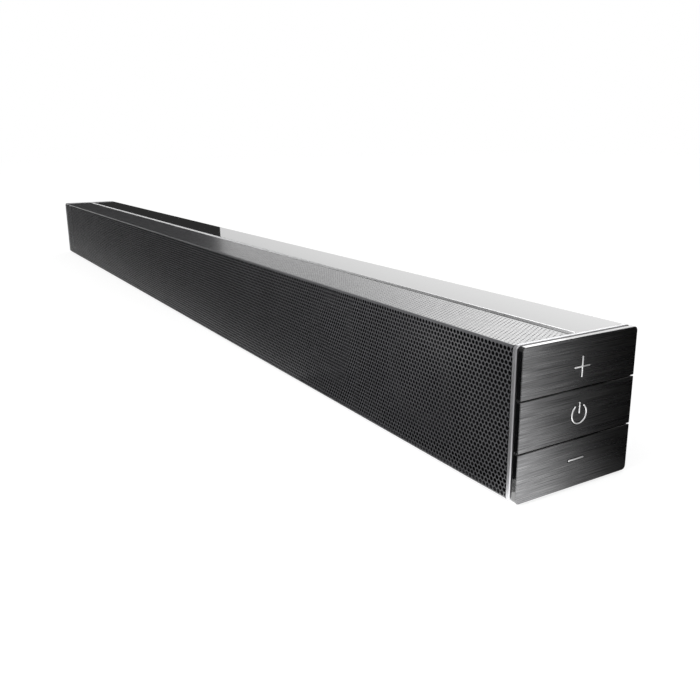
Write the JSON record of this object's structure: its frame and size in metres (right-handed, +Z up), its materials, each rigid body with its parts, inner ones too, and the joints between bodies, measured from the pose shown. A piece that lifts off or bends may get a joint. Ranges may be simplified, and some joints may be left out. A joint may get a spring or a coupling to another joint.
{
  "type": "soundbar",
  "caption": "Slim square-section soundbar with a perforated sheet grille wrapped over its front and top, bright end bezels and push keys on its right end.",
  "frame": {"origin": "on the table, under the middle of the bar", "axes": "+X along the bar towards the end with the keys, -Y out of the grille towards the listener, +Z up"},
  "size_m": [0.812, 0.0604, 0.0615],
  "materials": {
    "housing_abs": "fine moulded grain",
    "baffle_abs": "plain moulded",
    "grille_steel": "satin black paint on perforated sheet",
    "gloss_panel": "polished black",
    "bright_trim": "bright",
    "bezel_chrome": "satin chrome",
    "key_plastic": "polished black",
    "brushed_aluminium": "dark anodised, brushed along the depth",
    "switch_plastic": "plain",
    "circuit_board": "solder mask",
    "heat_sink_aluminium": "as extruded",
    "transformer_steel": "varnished core",
    "capacitor_can": "sleeved can",
    "jack_plate": "fine moulded grain",
    "connector_plastic": "plain moulded",
    "connector_shell": "nickel plated",
    "brass": "turned",
    "foot_rubber": "matt",
    "zinc_steel": "black zinc",
    "basket_steel": "black paint",
    "motor_iron": "ferrite and plated iron",
    "cone_paper": "pressed paper",
    "surround_rubber": "moulded roll",
    "spider_cloth": "impregnated cloth"
  },
  "bodies": {
    "cabinet": {"aux_jack": "connector_plastic", "board_screws": "zinc_steel", "button_board": "circuit_board", "capacitors": "capacitor_can", "driver_1_basket": "basket_steel", "driver_1_motor": "motor_iron", "driver_1_spider": "spider_cloth", "driver_1_surround": "surround_rubber", "driver_2_basket": "basket_steel", "driver_2_motor": "motor_iron", "driver_2_spider": "spider_cloth", "driver_2_surround": "surround_rubber", "driver_3_basket": "basket_steel", "driver_3_motor": "motor_iron", "driver_3_spider": "spider_cloth", "driver_3_surround": "surround_rubber", "driver_4_basket": "basket_steel", "driver_4_motor": "motor_iron", "driver_4_spider": "spider_cloth", "driver_4_surround": "surround_rubber", "driver_screws": "zinc_steel", "end_screws": "zinc_steel", "front_baffle": "baffle_abs", "front_grille": "grille_steel", "hdmi_port": "connector_shell", "heat_sink": "heat_sink_aluminium", "housing_screws": "zinc_steel", "jack_panel": "jack_plate", "left_bezel": "bezel_chrome", "left_end_block": "key_plastic", "left_end_face": "brushed_aluminium", "left_end_frame": "housing_abs", "main_board": "circuit_board", "optical_port": "connector_plastic", "power_board": "circuit_board", "power_inlet": "connector_plastic", "rear_housing": "housing_abs", "receiver_board": "circuit_board", "right_bezel": "bezel_chrome", "right_end_frame": "housing_abs", "rubber_feet": "foot_rubber", "switch_bodies": "switch_plastic", "top_panel": "gloss_panel", "top_trim": "bright_trim", "transformer": "transformer_steel", "wall_inserts": "brass", "wireless_module": "circuit_board"},
    "volume_up": {"volume_up_key": "key_plastic", "volume_up_face": "brushed_aluminium", "volume_up_plunger": "switch_plastic"},
    "power": {"power_key": "key_plastic", "power_face": "brushed_aluminium", "power_plunger": "switch_plastic"},
    "volume_down": {"volume_down_key": "key_plastic", "volume_down_face": "brushed_aluminium", "volume_down_plunger": "switch_plastic"},
    "cone_1": {"driver_1_cone": "cone_paper"},
    "cone_2": {"driver_2_cone": "cone_paper"},
    "cone_3": {"driver_3_cone": "cone_paper"},
    "cone_4": {"driver_4_cone": "cone_paper"}
  },
  "joints": [
    {"name": "volume_up_press", "type": "slide", "parent": "cabinet", "child": "volume_up", "axis": [-1, 0, 0], "range_m": [0, 0.0008], "stiffness_N_per_m": 1500, "springref_m": -0.0008},
    {"name": "power_press", "type": "slide", "parent": "cabinet", "child": "power", "axis": [-1, 0, 0], "range_m": [0, 0.0008], "stiffness_N_per_m": 1500, "springref_m": -0.0008},
    {"name": "volume_down_press", "type": "slide", "parent": "cabinet", "child": "volume_down", "axis": [-1, 0, 0], "range_m": [0, 0.0008], "stiffness_N_per_m": 1500, "springref_m": -0.0008},
    {"name": "cone_1_stroke", "type": "slide", "parent": "cabinet", "child": "cone_1", "axis": [0, -1, 0], "range_m": [-0.0015, 0.0015], "stiffness_N_per_m": 1000, "deforming": ["driver_1_surround", "driver_1_spider"]},
    {"name": "cone_2_stroke", "type": "slide", "parent": "cabinet", "child": "cone_2", "axis": [0, -1, 0], "range_m": [-0.0015, 0.0015], "stiffness_N_per_m": 1000, "deforming": ["driver_2_surround", "driver_2_spider"]},
    {"name": "cone_3_stroke", "type": "slide", "parent": "cabinet", "child": "cone_3", "axis": [0, -1, 0], "range_m": [-0.0015, 0.0015], "stiffness_N_per_m": 1000, "deforming": ["driver_3_surround", "driver_3_spider"]},
    {"name": "cone_4_stroke", "type": "slide", "parent": "cabinet", "child": "cone_4", "axis": [0, -1, 0], "range_m": [-0.0015, 0.0015], "stiffness_N_per_m": 1000, "deforming": ["driver_4_surround", "driver_4_spider"]}
  ]
}
